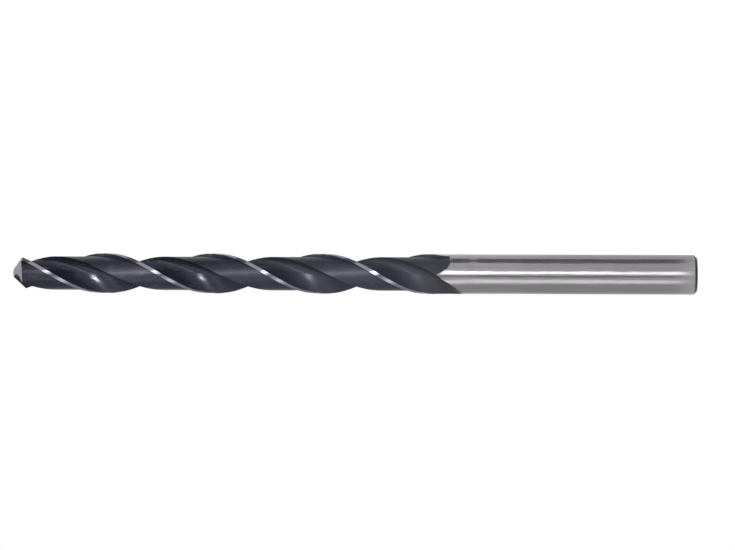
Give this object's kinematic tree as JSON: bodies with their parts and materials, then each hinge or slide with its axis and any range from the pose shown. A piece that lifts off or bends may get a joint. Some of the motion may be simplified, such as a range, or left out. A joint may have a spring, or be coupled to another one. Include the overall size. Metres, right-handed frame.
{
  "type": "twist drill bit",
  "caption": "Straight-shank twist drill bit with helical flutes, ground margins, relieved land backs and a conical point, on a plain chamfered shank.",
  "frame": {"origin": "centre of the flat end of the shank", "axes": "+Z along the bit's axis from the shank end to the point; the bit stands on its shank end"},
  "size_m": [0.012, 0.012, 0.205],
  "materials": {
    "tool_steel": "ground bright on the shank, margins and point, blued dark in the flutes"
  },
  "bodies": {
    "root": {"drill_bit": "tool_steel"}
  },
  "joints": []
}
